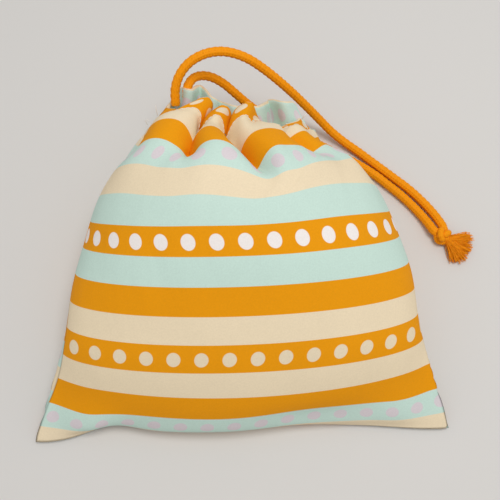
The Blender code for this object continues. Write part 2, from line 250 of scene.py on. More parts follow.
@dataclass
class Gather:
    """The cloth drawn up on its cord.

    The rim's turns, deep and uneven, use up the spare cloth at the mouth.  They
    grow shallower and run together further down, until the cloth lies smooth.

    Attributes:
        rim: Points of the gathered rim: the place round the cloth from the left
            seam, then x, y and z.
        first_height: Where the turns begin, up the cloth.
        spread: How far the turns run together by the time they end.
        full_until: The share of the way down over which the turns take up all spare cloth.
        fade_over: The share of the way down over which the turns then flatten out.
        flattened: The share of their depth that the turns lose there.
        stretch: How much deeper than at the rim the turns may grow on the way down.
        drifts: Places where the turns slant across the cloth on their way down,
            how far, and over what width.
        sags: Where a fold sags deeper: the place round the cloth and its width,
            the height and its width, and how far it is drawn in x, y and z.
        sharp: How many half millimetres the rim is rounded over.
        rounded: The same for the part that lies in softer folds.
        rounded_between: Where round the cloth the softer folds lie.
        flares: Where round the cloth the casing leans out or in, and how far its
            top goes in x, y and z.
    """

    rim: tuple[tuple[float, float, float, float], ...] = (
        (0, -39.9, 161.1, 43), (12, -33.4, 154.7, 52), (24, -26.9, 154.7, 57), (33, -22.3, 156.6, 59),
        (41, -17.8, 158.5, 57), (47, -15.5, 156.6, 54), (52, -17.3, 152.1, 49), (58, -21.6, 146.3, 43),
        (63, -18.8, 150.6, 48), (68, -16, 153.3, 54), (74, -11.5, 154.3, 57), (79, -7.6, 153.9, 55),
        (83, -5.8, 151.2, 49), (88, -6.8, 144.5, 42), (93, -4.7, 150.4, 49), (98, -2.5, 155.1, 55),
        (104, 0.8, 155.4, 58), (110, 4.4, 155.2, 57), (116, 6.7, 152.7, 49), (122, 8.2, 152, 45),
        (128, 10.8, 149.5, 45), (134, 14, 147.4, 47), (140, 15.9, 147.8, 45), (147, 14.8, 148.6, 41),
        (154, 14.4, 149.1, 38), (161, 15.7, 148.6, 41), (168, 18.1, 148.8, 45), (177, 21.7, 148.9, 47),
        (187, 26, 151.6, 44), (196, 30.1, 155.6, 39), (203, 31.3, 160.6, 34), (210, 30.2, 164.7, 32),
        (221, 26.3, 167.2, 40), (232, 21.2, 162.9, 45), (244, 17.3, 167.8, 40), (256, 13.3, 170.3, 35),
        (268, 9.9, 163.5, 43), (280, 6.2, 159.3, 46), (292, 3.1, 165.4, 40), (303, 0, 167.9, 35),
        (314, -3.6, 161.1, 44), (324, -7.3, 165.4, 40), (334, -12.2, 169.7, 35), (344, -15, 165.3, 45),
        (354, -17.9, 173.3, 40), (364, -21.4, 179, 36), (374, -25, 177.6, 39), (384, -27.4, 168.8, 47),
        (394, -30.6, 175.1, 41), (404, -34.4, 172.8, 37), (412, -37.8, 167.2, 39),
    )
    first_height: float = 118.0
    spread: float = 9.0
    full_until: float = 0.35
    fade_over: float = 0.55
    flattened: float = 0.9
    stretch: float = 1.0
    drifts: tuple[Point, ...] = ((65.0, 8.0, 14.0), (104.0, 15.0, 18.0), (165.0, 11.0, 20.0))
    sags: tuple[tuple[float, float, float, float, Point], ...] = (
        (65.0, 8.0, 171.0, 12.0, (2.0, -8.0, -7.0)),
        (104.0, 10.0, 167.0, 13.0, (0.0, -12.0, -10.0)),
        (106.0, 32.0, 150.0, 20.0, (8.0, 0.0, 0.0)),
        (84.0, 14.0, 152.0, 16.0, (1.5, 3.0, 1.0)),
        (30.0, 26.0, 143.0, 13.0, (0.0, 2.6, 0.0)),
        (64.0, 10.0, 149.0, 11.0, (-1.0, 3.0, 1.5)),
        (113.0, 18.0, 141.0, 13.0, (3.0, -3.5, -3.0)),
        (42.0, 13.0, 181.0, 9.0, (4.0, 0.0, 1.0)),
        (76.0, 9.0, 181.0, 9.0, (3.5, 0.0, 1.0)),
    )
    sharp: int = 11
    rounded: int = 33
    rounded_between: tuple[float, float] = (112.0, 398.0)
    flares: tuple[tuple[float, float, Point], ...] = (
        (14.0, 112.0, (3.0, 1.5, 2.5)), (112.0, 208.0, (0.0, -1.0, -5.0)),
    )

    def flare_at(self, cloth: Array) -> Array:
        """How far the casing leans over its stitches, at places round the cloth."""
        total = np.zeros((len(cloth), 3))
        for start, end, lean in self.flares:
            total += (ease((cloth - start) / 10) * (1 - ease((cloth - end) / 10)))[:, None] * np.array(lean)
        return total

    @staticmethod
    def frames(ring: Array, places: Array, axis: Array) -> tuple[Array, Array]:
        """Points on a closed ring, and the ring's own frame at each of them.

        Args:
            ring: The dense ring.
            places: Lengths round the ring from its first point.
            axis: The direction that the ring is threaded along, a unit vector.

        Returns:
            The points, and frames of shape (points, 3, 3) whose rows run along
            the ring, outward and along the axis.
        """
        closed = np.concatenate([ring, ring[:1]])
        arc = np.concatenate([[0.0], np.cumsum(np.linalg.norm(np.diff(closed, axis=0), axis=1))])

        def at(lengths: Array) -> Array:
            """Points of the ring at some lengths."""
            wrapped = np.mod(lengths, arc[-1])
            return np.stack([np.interp(wrapped, arc, closed[:, k]) for k in range(3)], axis=-1)

        along = unit(at(places + 4.0) - at(places - 4.0))
        outward = unit(np.cross(axis, along))
        return at(places), np.stack([along, outward, np.cross(along, outward)], axis=1)

    def turns(self, ring: Array, axis: Array, cloth: Array) -> Array:
        """How far the gathered rim strays from its ring, in the ring's own frame."""
        knots = np.array(self.rim)
        lap = (GIRTH, 0, 0, 0)
        around = np.concatenate([knots[-3:] - lap, knots, knots[:3] + lap])
        dense = np.arange(-8.0, GIRTH + 8.0, 0.5)
        line = np.stack([np.interp(dense, around[:, 0], around[:, k]) for k in (1, 2, 3)], axis=-1)
        sharp, round_off = (
            np.stack([np.convolve(line[:, k], kernel / kernel.sum(), "same") for k in range(3)], axis=-1)
            for kernel in (np.hanning(self.sharp), np.hanning(self.rounded))
        )
        start, end = self.rounded_between
        mask = (ease((dense - start) / 20) * (1 - ease((dense - end) / 14)))[:, None]
        line = sharp * (1 - mask) + round_off * mask
        rim = np.stack([np.interp(cloth, dense, line[:, k]) for k in range(3)], axis=-1)
        rim -= self.flare_at(cloth)
        points, frames = self.frames(ring, cloth / GIRTH * ring_length(ring), axis)
        return np.einsum("nij,nj->ni", frames, rim - points)

    def row(self, ring: Array, axis: Array, cloth: Array, height: float, turns: Array, twist: float) -> Array:
        """Lay one row of the cloth on a ring, with turns that take up its spare length.

        Args:
            ring: The dense ring to gather onto, closed, from the left seam.
            axis: The direction that the ring is threaded along, a unit vector.
            cloth: Places of the row's points round the cloth, in millimetres.
            height: The row's height up the cloth, in millimetres.
            turns: The rim's turns, from the function of that name.
            twist: How far the cloth is turned round the form, in millimetres.

        Returns:
            The laid points.
        """
        points, frames = self.frames(ring, cloth / GIRTH * ring_length(ring) + twist, axis)
        below = max(FLAT_HEIGHT - height, 0.0) / (FLAT_HEIGHT - self.first_height)
        waves = np.fft.rfftfreq(len(cloth), GIRTH / len(cloth))
        blur = np.exp(-2 * (math.pi * waves * self.spread * below) ** 2)
        soft = np.fft.irfft(np.fft.rfft(turns, axis=0) * blur[:, None], len(cloth), axis=0)
        lean = sum(far * bump(cloth, at, wide) for at, far, wide in self.drifts)
        source = cloth - lean * float(ease(below / self.full_until))
        soft = np.stack([np.interp(source, cloth, soft[:, k], period=GIRTH) for k in range(3)], axis=-1)
        soft *= 1 - self.flattened * float(ease((below - self.full_until) / self.fade_over))
        offset = np.einsum("nij,ni->nj", frames, soft)
        plain = ring_length(points)
        wanted = plain + (GIRTH - plain) * float(1 - ease((below - self.full_until) / (1 - self.full_until)))
        low, high = 0.0, self.stretch
        if ring_length(points + offset * high) < wanted:
            low = high
        for _ in range(24):
            middle = (low + high) / 2
            if ring_length(points + offset * middle) < wanted:
                low = middle
            else:
                high = middle
        laid = points + offset * low
        for at, wide, level, tall, pull in self.sags:
            near = bump(cloth, at, wide) * bump(height, level, tall)
            laid += near[:, None] * np.array(pull)
        return laid


@dataclass
class ClothSolver:
    """Relaxes a sheet that is closed into a tube, with its own flat lengths kept.

    The grid's rows run round the pouch and its columns up the cloth.  Each pass
    lets the filling press out, keeps the threads' lengths, resists bending and
    keeps the cloth near the stuffed form and above the table.
    """

    spacing: float
    target: Array
    pinned_rows: int
    seam_columns: tuple[int, int]
    pressure: float = 0.02
    hold: float = 0.05
    grip: float = 0.04
    bend: float = 0.12
    shear: float = 0.25
    reach: float = 7.0
    seam_bend: float = 0.3
    drag: float = 0.9
    fastest: float = 0.4
    even_over: int = 12
    round_rest: Array = field(init=False)
    up_rest: Array = field(init=False)

    def __post_init__(self) -> None:
        """Take the threads' lengths from how they were laid, since the weave can crimp a little."""
        step = np.linalg.norm(np.roll(self.target, -1, axis=1) - self.target, axis=-1)
        self.round_rest = np.minimum(self.softened(step), self.spacing)[..., None]
        rise = np.linalg.norm(np.diff(self.target, axis=0), axis=-1)
        self.up_rest = np.minimum(self.softened(rise), self.spacing * 1.06)[..., None]

    def softened(self, lengths: Array) -> Array:
        """Average lengths with their neighbours round the pouch."""
        kernel = np.hanning(2 * self.even_over + 1)
        wrapped = np.concatenate([lengths[:, -self.even_over:], lengths, lengths[:, :self.even_over]], axis=1)
        return np.stack([np.convolve(line, kernel / kernel.sum(), "valid") for line in wrapped])

    def normals(self, points: Array) -> Array:
        """Outward normals of the grid."""
        around = np.roll(points, -1, axis=1) - np.roll(points, 1, axis=1)
        up = np.empty_like(points)
        up[1:-1] = points[2:] - points[:-2]
        up[0] = points[1] - points[0]
        up[-1] = points[-1] - points[-2]
        return unit(np.cross(around, up))

    @staticmethod
    def pull(first: Array, second: Array, rest: Array, stiffness: float, slack: float = 1.0) -> Array:
        """How far each end of a set of threads moves to bring them to length."""
        gap = second - first
        length = np.sqrt((gap * gap).sum(axis=-1, keepdims=True))
        excess = (length - rest) / np.maximum(length, 1e-9)
        excess = np.where(excess < 0, excess * slack, excess)
        return gap * (0.5 * stiffness * excess)

    def threads_round(self, points: Array, stiffness: float, slack: float) -> None:
        """Keep the lengths of the threads that run round the pouch."""
        for start in (0, 1):
            turned = np.roll(points, -start, axis=1)
            rest = self.round_rest[:, start::2]
            move = self.pull(turned[:, 0::2], turned[:, 1::2], rest, stiffness, slack)
            turned[:, 0::2] += move
            turned[:, 1::2] -= move
            points[:] = np.roll(turned, start, axis=1)

    def threads_up(self, points: Array, stiffness: float, slack: float) -> None:
        """Keep the lengths of the threads that run up the cloth."""
        for start in (0, 1):
            first = points[start:-1:2]
            second = points[start + 1::2][: len(first)]
            first = first[: len(second)]
            move = self.pull(first, second, self.up_rest[start::2][: len(first)], stiffness, slack)
            first += move
            second -= move

    def diagonals(self, points: Array) -> None:
        """Resist shear."""
        across = np.sqrt(self.round_rest[:-1] ** 2 + self.up_rest**2)
        for turn in (1, -1):
            for start in (0, 1):
                first = points[start:-1:2]
                second = points[start + 1::2]
                count = min(len(first), len(second))
                first, second = first[:count], second[:count]
                shifted = np.roll(second, -turn, axis=1)
                move = self.pull(first, shifted, across[start::2][:count], self.shear)
                first += move
                second -= np.roll(move, turn, axis=1)

    def relax(self, points: Array, passes: int) -> Array:
        """Run the passes.

        Args:
            points: The grid to start from, of shape (rows, columns, 3).
            passes: How many passes to run.

        Returns:
            The relaxed grid.
        """
        points = points.copy()
        fixed = points[-self.pinned_rows:].copy()
        outward = self.normals(self.target)
        rows = len(points)
        fade = np.ones((rows, 1, 1))
        free = rows - self.pinned_rows
        fade[:free, 0, 0] = np.clip((free - np.arange(free)) / (free * 0.35), 0.15, 1.0)
        columns = points.shape[1]
        mirror = (-np.arange(columns)) % columns
        velocity = np.zeros_like(points)
        for step in range(passes):
            before = points.copy()
            points += velocity * self.drag
            points += self.normals(points) * (self.pressure * (1.08 - fade))
            off = ((self.target - points) * outward).sum(axis=-1, keepdims=True)
            points += outward * off * (self.hold * fade)
            points += (self.target - points) * (self.grip * np.clip(fade * 1.2 - 0.3, 0, 1))
            self.threads_round(points, 1.0, 0.8)
            self.threads_up(points, 1.0, 0.8)
            if step % 2 == 0:
                self.diagonals(points)
            curve = np.roll(points, 1, axis=1) + np.roll(points, -1, axis=1) - 2 * points
            curve[:, self.seam_columns, :] *= self.seam_bend
            points -= (np.roll(curve, 1, axis=1) + np.roll(curve, -1, axis=1) - 2 * curve) * (self.bend / 4)
            rise = np.zeros_like(points)
            rise[1:-1] = points[2:] + points[:-2] - 2 * points[1:-1]
            points[1:-1] -= (rise[2:] + rise[:-2] - 2 * rise[1:-1]) * (self.bend / 4)
            off = ((self.target - points) * outward).sum(axis=-1, keepdims=True)
            over = np.abs(off) - self.reach
            points += outward * np.sign(off) * np.maximum(over, 0)
            points[0] = (points[0] + points[0][mirror]) / 2
            points[..., 2] = np.maximum(points[..., 2], 0.0)
            points[-self.pinned_rows:] = fixed
            velocity = np.clip(points - before, -self.fastest, self.fastest)
        return points


@dataclass
class PouchBody:
    """The cotton sheet of the pouch, plump with its filling."""

    form: StuffedForm = field(default_factory=StuffedForm)
    gather: Gather = field(default_factory=Gather)
    casing_depth: float = 13.5
    spacing: float = 1.5
    casing_thickness: float = 1.8
    roll_steps: int = 4
    layer: float = 0.5
    floor_drop: float = 3.0
    facing_taper: float = 0.12
    casing_puff: float = 1.0
    belly_turn: float = 5.0
    neck_turn: float = 10.0
    neck_height: float = 155.0
    neck_width: float = 24.0
    passes: int = 500
    quick_passes: int = 60
    rear_cut: float = 33.0
    facing_cut: float = 136.5
    stitch_lift: float = 0.12
    stitch_lines: list[Array] = field(init=False, default_factory=list)

    def axis_at(self, share: float) -> Array:
        """The direction in which the pouch narrows at a share of the cloth's height."""
        pair = self.form.rings(np.array([max(share - 0.03, 0.0), min(share + 0.001, 1.0)]))
        return unit((pair[1].mean(axis=0) - pair[0].mean(axis=0))[None, :])[0]

    def turn_at(self, height: float) -> float:
        """How far the cloth is turned round the form at one height."""
        to_mouth = float(ease((height / FLAT_HEIGHT - 0.45) / 0.5))
        neck = self.neck_turn * bump(height, self.neck_height, self.neck_width)
        return self.belly_turn * float(ease(height / 60.0)) * (1 - to_mouth) + neck

    @property
    def casing_count(self) -> int:
        """How many rows of the grid the casing takes up."""
        return round(self.casing_depth / self.spacing) + 1

    def build_grid(self) -> Array:
        """Lay the sheet out, gather it and let it settle as cloth."""
        columns = round(GIRTH / self.spacing)
        cloth = np.arange(columns) * self.spacing
        heights = np.arange(0, FLAT_HEIGHT + 0.01, self.spacing)
        rings = self.form.rings(np.minimum(heights / FLAT_HEIGHT, 1.0))
        turns = self.gather.turns(rings[-1], self.axis_at(1.0), cloth)
        laid = np.empty((len(heights), columns, 3))
        for index, height in enumerate(heights):
            axis = self.axis_at(height / FLAT_HEIGHT)
            laid[index] = self.gather.row(rings[index], axis, cloth, height, turns, self.turn_at(height))
        pinned = self.casing_count
        laid[0] = (laid[0] + laid[0][(-np.arange(columns)) % columns]) / 2
        solver = ClothSolver(self.spacing, laid, pinned, (0, columns // 2))
        return solver.relax(laid, self.passes)

    def casing_rows(self, grid: Array) -> list[Array]:
        """Puff the casing out over its cord, turn it over the top and face it inside."""
        cloth = np.arange(grid.shape[1]) * self.spacing
        pinned = self.casing_count
        rows = [grid[index] for index in range(len(grid) - pinned)]
        flare = self.gather.flare_at(cloth)
        top = grid[-1] + flare
        axis = self.axis_at(1.0)
        around = unit(np.roll(top, -2, axis=0) - np.roll(top, 2, axis=0))
        outward = unit(np.cross(around, axis))
        centre = top.mean(axis=0)
        casing = []
        for step in range(pinned):
            rise = math.sin(math.pi * step / (pinned - 1)) ** 0.8
            row = grid[len(grid) - pinned + step] + flare * (step / (pinned - 1))
            casing.append(row)
            rows.append(row + outward * (self.casing_puff * rise))
        thick = self.casing_thickness
        for step in range(1, self.roll_steps + 1):
            angle = math.pi * step / (self.roll_steps + 1)
            inset = thick / 2 * (1 - math.cos(angle))
            rows.append(top - outward * inset + axis * (thick * 0.28 * math.sin(angle)))
        for step in range(1, pinned):
            inner = casing[pinned - 1 - step] - outward * thick
            rows.append(inner + (centre - top) * (self.facing_taper * step / pinned))
        return rows

    def tuck_in(self, points: Array, outer_rows: int) -> None:
        """Keep the front lip's facing and the cloth under it inside the outer cloth, layer on layer.

        Args:
            points: All rows of cloth, changed in place.
            outer_rows: How many of them are outer cloth.
        """
        columns = points.shape[1]
        places = np.arange(outer_rows * columns).reshape(outer_rows, columns)
        after = np.roll(places, -1, axis=1)
        faces = np.stack([places[:-1], after[:-1], after[1:], places[1:]], axis=-1).reshape(-1, 4)
        wall = BVHTree.FromPolygons(points[:outer_rows].reshape(-1, 3).tolist(), faces.tolist())
        for row in range(outer_rows + self.roll_steps, len(points)):
            for column in range(columns // 2):
                near, normal, _, _ = wall.find_nearest(Vector(points[row, column]))
                depth = (near - Vector(points[row, column])).dot(normal)
                if depth < self.layer:
                    points[row, column] = near - normal * self.layer

    def build_mesh(self) -> bpy.types.Object:
        """Make the body's mesh, with the sheet's flat coordinates as its UV map."""
        rows = self.casing_rows(self.build_grid())
        last = rows[-1]
        columns = len(last)
        inward = (last.mean(axis=0) - last) - self.axis_at(1.0) * self.floor_drop
        rows += [last + inward * part for part in (0.35, 0.7)]
        points = np.stack(rows)
        self.tuck_in(points, round(FLAT_HEIGHT / self.spacing) + 1)
        points[..., 1] -= UNDERSIDE_Y
        self.stitch_lines = self.hem_lines(points)
        shape = bmesh.new()
        layer = shape.loops.layers.uv.new("cloth")
        half = columns // 2
        verts: list[list[bmesh.types.BMVert]] = []
        for index, row in enumerate(points * MM):
            if index == 0:
                line = [shape.verts.new(point) for point in row[: half + 1]]
                verts.append(line + line[half - 1:0:-1])
            else:
                verts.append([shape.verts.new(point) for point in row])
        middle = shape.verts.new(points[-1].mean(axis=0) * MM)
        facing_rows = self.casing_count + 2
        for row in range(len(verts) - 1):
            for column in range(columns):
                after = (column + 1) % columns
                low, high = verts[row], verts[row + 1]
                face = shape.faces.new((low[column], low[after], high[after], high[column]))
                front = column < half
                faced = row >= len(verts) - facing_rows + (0 if front else -4)
                for loop, (across, up) in zip(face.loops, ((0, 0), (1, 0), (1, 1), (0, 1))):
                    spot = ((column + across) * self.spacing, (row + up) * self.spacing)
                    loop[layer].uv = self.print_place(*spot, front, faced)
        for column in range(columns):
            face = shape.faces.new((verts[-1][column], verts[-1][(column + 1) % columns], middle))
            spot = (column * self.spacing, len(verts) * self.spacing)
            for loop in face.loops:
                loop[layer].uv = self.print_place(*spot, front=False, faced=True)
        data = bpy.data.meshes.new("cloth_body")
        shape.to_mesh(data)
        shape.free()
        data.shade_smooth()
        return link_object("cloth_body", data)

    def hem_lines(self, points: Array) -> list[Array]:
        """Lines for the casing's stitches, just above the cloth outside and inside, in metres."""
        hem = round((FLAT_HEIGHT - self.casing_depth) / self.spacing)
        facing = hem + 2 * self.casing_count + 2
        lines = []
        for row in (hem + 1, facing - 1):
            around = np.roll(points[row], -1, axis=0) - np.roll(points[row], 1, axis=0)
            outward = unit(np.cross(around, points[row + 1] - points[row - 1]))
            lines.append((points[row] + outward * self.stitch_lift) * MM)
        return lines

    def print_place(self, place: float, height: float, front: bool, faced: bool) -> tuple[float, float]:
        """Where a point of the sheet lies on the print, in metres.

        The rear panel is cut a little further down the print than the front, and
        the casing is faced with a strip of its own.
        """
        if faced:
            return place * MM, (height - FLAT_HEIGHT + self.facing_cut) * MM
        if front:
            return place * MM, height * MM
        return (GIRTH - place) * MM, (height - self.rear_cut) * MM


def linear(code: str) -> tuple[float, float, float, float]:
    """Turn an sRGB hex colour into a linear one.

    Args:
        code: Six hex digits, with or without a leading mark.

    Returns:
        Red, green, blue and alpha.
    """
    digits = code.lstrip("#")
    parts = [int(digits[start:start + 2], 16) / 255 for start in (0, 2, 4)]
    return (*(part / 12.92 if part <= 0.04045 else ((part + 0.055) / 1.055) ** 2.4 for part in parts), 1.0)


def reckon(operation: str, swapped: bool = False) -> Callable:
    """A method that does one sum on a value through a Math node."""
    def method(self: Value, other: object) -> Value:
        """Do the sum."""
        return self.tree.math(operation, *((other, self) if swapped else (self, other)))
    return method


class Value:
    """A node's output that sums can be written with."""

    def __init__(self, tree: Tree, socket: bpy.types.NodeSocket) -> None:
        """Keep the output and the tree it is in."""
        self.tree = tree
        self.socket = socket

    __add__, __radd__ = reckon("ADD"), reckon("ADD", swapped=True)
    __sub__, __rsub__ = reckon("SUBTRACT"), reckon("SUBTRACT", swapped=True)
    __mul__, __truediv__, __mod__ = reckon("MULTIPLY"), reckon("DIVIDE"), reckon("FLOORED_MODULO")


class Tree:
    """A node tree under construction."""

    def __init__(self, tree: bpy.types.NodeTree) -> None:
        """Keep the tree that nodes are added to."""
        self.tree = tree

    def link(self, value: Value, target: bpy.types.NodeSocket) -> None:
        """Connect a value to an input."""
        self.tree.links.new(value.socket, target)

    def add(self, kind: str, links: Links | None = None, **settings: object) -> bpy.types.Node:
        """Add one node.

        Args:
            kind: The node's type name.
            links: Input socket, by name or number, to a number or to another node's value.
            settings: Properties to set on the node.

        Returns:
            The new node.
        """
        node = self.tree.nodes.new(kind)
        for name, value in settings.items():
            setattr(node, name, value)
        for key, value in (links or {}).items():
            if isinstance(value, Value):
                self.link(value, node.inputs[key])
            else:
                node.inputs[key].default_value = value
        return node

    def get(self, kind: str, links: Links | None = None, out: str | int = 0, **settings: object) -> Value:
        """Add one node and give one of its outputs, by name or number."""
        return Value(self, self.add(kind, links, **settings).outputs[out])

    def math(self, operation: str, *values: object) -> Value:
        """Add a Math node."""
        return self.get("ShaderNodeMath", dict(enumerate(values)), operation=operation)

    def vector(self, operation: str, links: Links, out: int = 0) -> Value:
        """Add a Vector Math node."""
        return self.get("ShaderNodeVectorMath", links, out, operation=operation)

    def join(self, x: object, y: object, z: object = 0.0) -> Value:
        """Make a vector of three numbers."""
        return self.get("ShaderNodeCombineXYZ", {0: x, 1: y, 2: z})

    def mix(self, factor: object, first: object, second: object, blend: str = "MIX") -> Value:
        """Add a colour Mix node."""
        links = {0: factor, 6: first, 7: second}
        return self.get("ShaderNodeMix", links, 2, data_type="RGBA", blend_type=blend)


def new_material(name: str) -> tuple[bpy.types.Material, Tree, bpy.types.Node]:
    """A new material with its tree and its Principled shader."""
    made = bpy.data.materials.new(name)
    made.use_nodes = True
    tree = Tree(made.node_tree)
    return made, tree, made.node_tree.nodes["Principled BSDF"]


class Ink(Enum):
    """The print's colours, as they dry on the cotton."""

    CREAM = "#F0DDBC"
    OCHRE = "#EE9B02"
    MINT = "#CBE3D7"
    LILAC = "#DDD3D6"
    WHITE = "#F5EDE8"
    PALE = "#ECDABB"


@dataclass(frozen=True)
class Stripe:
    """One stripe of the print, with the dots on it if it has any."""

    ground: Ink
    dots: Ink | None = None
    dot_size: float = 0.0
    dot_shift: float = 0.0


@dataclass(frozen=True)
class PrintedCotton:
    """Quilting cotton in a plain weave, screen printed with stripes and dots.

    The weave gives it a matt, faintly grainy face.  The inks soak in, so the
    print has the cloth's own roughness.  Sizes are in millimetres.  Real threads
    lie about 0.4 apart, and are drawn at 0.55 so that they show.
    """

    stripe_height: float = 13.4
    first_edge: float = 9.0
    dot_pitch: float = 13.6
    thread: float = 0.55
    edge_blur: float = 0.15
    # How wide the painted shade along each side seam is, in millimetres.
    seam_shade_width: float = 0.9
    stripes: tuple[Stripe, ...] = (
        Stripe(Ink.MINT, Ink.LILAC, 6.9, 5.0), Stripe(Ink.OCHRE), Stripe(Ink.CREAM),
        Stripe(Ink.OCHRE, Ink.PALE, 6.9, 9.5), Stripe(Ink.CREAM), Stripe(Ink.OCHRE), Stripe(Ink.MINT),
        Stripe(Ink.OCHRE, Ink.WHITE, 7.1, 9.2), Stripe(Ink.MINT), Stripe(Ink.CREAM),
    )

    def build(self) -> bpy.types.Material:
        """Make the material."""
        made, tree, shader = new_material("printed quilting cotton")
        split = tree.add("ShaderNodeSeparateXYZ", {0: tree.get("ShaderNodeUVMap", uv_map="cloth")})
        across, up = (Value(tree, split.outputs[axis]) * (1 / MM) for axis in (0, 1))
        repeat = self.stripe_height * len(self.stripes)
        turn = (up - self.first_edge) % repeat
        ramp = tree.add("ShaderNodeValToRGB", {0: turn / repeat})
        ramp.color_ramp.interpolation = "CONSTANT"
        while len(ramp.color_ramp.elements) < len(self.stripes):
            ramp.color_ramp.elements.new(1.0)
        colour = Value(tree, ramp.outputs[0])
        for index, (stop, stripe) in enumerate(zip(ramp.color_ramp.elements, self.stripes)):
            stop.position = index / len(self.stripes)
            stop.color = linear(stripe.ground.value)
            if stripe.dots:
                half = self.dot_pitch / 2
                high = turn - (index + 0.5) * self.stripe_height
                wide = (across - (stripe.dot_shift - half)) % self.dot_pitch - half
                distance = tree.vector("LENGTH", {0: tree.join(wide, high)}, out=1)
                radius = stripe.dot_size / 2
                limits = {0: distance, 1: radius - self.edge_blur, 2: radius + self.edge_blur, 3: 1.0, 4: 0.0}
                colour = tree.mix(tree.get("ShaderNodeMapRange", limits), colour, linear(stripe.dots.value))
        tree.link(self.grain_and_seam_shade(tree, colour, across), shader.inputs["Base Color"])
        tree.link(self.relief(tree, across, up), shader.inputs["Normal"])
        shader.inputs["Roughness"].default_value = 0.85
        shader.inputs["Specular IOR Level"].default_value = 0.2
        return made

    def grain_and_seam_shade(self, tree: Tree, colour: Value, across: Value) -> Value:
        """Let the ink vary a little from thread to thread, and darken the side seams with painted shade, the
        shade of their grooves.
        """
        place = tree.get("ShaderNodeTexCoord", out="Object")
        grain = tree.get("ShaderNodeTexNoise", {"Vector": place, "Scale": 1300.0, "Detail": 1.0})
        patch = tree.get("ShaderNodeTexNoise", {"Vector": place, "Scale": 38.0, "Detail": 2.0})
        shade = grain * 0.13 + patch * 0.05 + 0.91
        # Painted shade: near either side seam the colour falls to 0.62 of its level.
        sides = (tree.math("ABSOLUTE", across), tree.math("ABSOLUTE", across - FLAT_WIDTH))
        limits = {0: tree.math("MINIMUM", *sides), 1: 0.1, 2: self.seam_shade_width, 3: 0.62, 4: 1.0}
        level = shade * tree.get("ShaderNodeMapRange", limits)
        grey = tree.get("ShaderNodeCombineColor", {0: level, 1: level, 2: level})
        return tree.mix(1.0, colour, grey, "MULTIPLY")

    def relief(self, tree: Tree, across: Value, up: Value) -> Value:
        """The plain weave's threads, over soft creases that run up the cloth."""
        turn = math.tau / self.thread
        weave = tree.math("SINE", across * turn) * tree.math("SINE", up * turn)
        flat = tree.join(across * 0.045, up * 0.016)
        crease = tree.get("ShaderNodeTexNoise", {"Vector": flat, "Scale": 1.0, "Detail": 3.0})
        soft = tree.get("ShaderNodeBump", {"Strength": 0.5, "Distance": 0.0022, "Height": crease})
        threads = {"Strength": 0.3, "Distance": 0.00012, "Height": weave, "Normal": soft}
        return tree.get("ShaderNodeBump", threads)


@dataclass(frozen=True)
class SewingThread:
    """White spun polyester sewing thread, whose bright, round stitches stand on the matt cotton."""

    colour: str = "#F3EFE6"

    def build(self) -> bpy.types.Material:
        """Make the material."""
        made, _, shader = new_material("spun polyester sewing thread")
        shader.inputs["Base Color"].default_value = linear(self.colour)
        shader.inputs["Roughness"].default_value = 0.55
        return made


@dataclass(frozen=True)
class CordYarn:
    """Soft orange polyester yarn, nearly as matt as the cotton.

    The braid's relief and its deeper orange tell the cord apart from the print.
    """

    colour: str = "#FF9F02"
    tip_colour: str = "#FF9F06"
    shade: float = 0.9

    def build(self, name: str, colour: str) -> bpy.types.Material:
        """Make one of the yarn's materials."""
        made, tree, shader = new_material(name)
        place = tree.get("ShaderNodeTexCoord", out="Object")
        fibre = tree.get("ShaderNodeTexNoise", {"Vector": place, "Scale": 1500.0, "Detail": 2.0})
        plain = linear(colour)
        shaded = (*(self.shade * part for part in plain[:3]), 1.0)
        tree.link(tree.mix(fibre, plain, shaded), shader.inputs["Base Color"])
        shader.inputs["Roughness"].default_value = 0.6
        shader.inputs["Specular IOR Level"].default_value = 0.14
        shader.inputs["Sheen Weight"].default_value = 0.02
        return made


class NodeGroup(Tree):
    """A Geometry Nodes group with named inputs, used through one modifier."""

    def __init__(self, name: str, inputs: dict[str, tuple[str, object]]) -> None:
        """Make the group.

        Args:
            name: The group's name.
            inputs: Each input's name, to its socket type and default value.
        """
        super().__init__(bpy.data.node_groups.new(name, "GeometryNodeTree"))
        face = self.tree.interface
        face.new_socket("Geometry", in_out="INPUT", socket_type="NodeSocketGeometry")
        for label, (kind, value) in inputs.items():
            socket = face.new_socket(label, in_out="INPUT", socket_type=kind)
            if value is not None:
                socket.default_value = value
        face.new_socket("Geometry", in_out="OUTPUT", socket_type="NodeSocketGeometry")
        sockets = self.tree.nodes.new("NodeGroupInput").outputs
        self.given = {label: Value(self, sockets[label]) for label in ("Geometry", *inputs)}

    def tube(self, lines: Value, resolution: int, radius: Value | float, scale: Value | None = None) -> Value:
        """Give every line a closed tube, round or scaled."""
        links = {"Resolution": resolution, "Radius": radius}
        outline = self.get("GeometryNodeCurvePrimitiveCircle", links, mode="RADIUS")
        if scale:
            outline = self.get("GeometryNodeTransform", {0: outline, "Scale": scale})
        return self.get("GeometryNodeCurveToMesh", {0: lines, 1: outline, "Fill Caps": True})

    def finish(self, geometry: Value) -> None:
        """Make instances real, set the material and pass the geometry out."""
        real = self.get("GeometryNodeRealizeInstances", {0: geometry})
        dressed = self.get("GeometryNodeSetMaterial", {"Geometry": real, "Material": self.given["Material"]})
        self.link(dressed, self.tree.nodes.new("NodeGroupOutput").inputs[0])

    def apply(self, source: bpy.types.Object, name: str, values: dict[str, object]) -> bpy.types.Object:
        """Run the group on an object and keep the outcome as a plain mesh.

        Args:
            source: The object to run on, removed afterwards.
            name: The new object's name.
            values: Input name to value.

        Returns:
            The new object.
        """
        modifier = source.modifiers.new("build", "NODES")
        modifier.node_group = self.tree
        for item in self.tree.interface.items_tree:
            if item.in_out == "INPUT" and item.name in values:
                modifier[item.identifier] = values[item.name]
        bpy.context.view_layer.update()
        seen = source.evaluated_get(bpy.context.evaluated_depsgraph_get())
        data = bpy.data.meshes.new_from_object(seen)
        data.name = name
        source.modifiers.remove(modifier)
        bpy.data.objects.remove(source, do_unlink=True)
        return link_object(name, data)


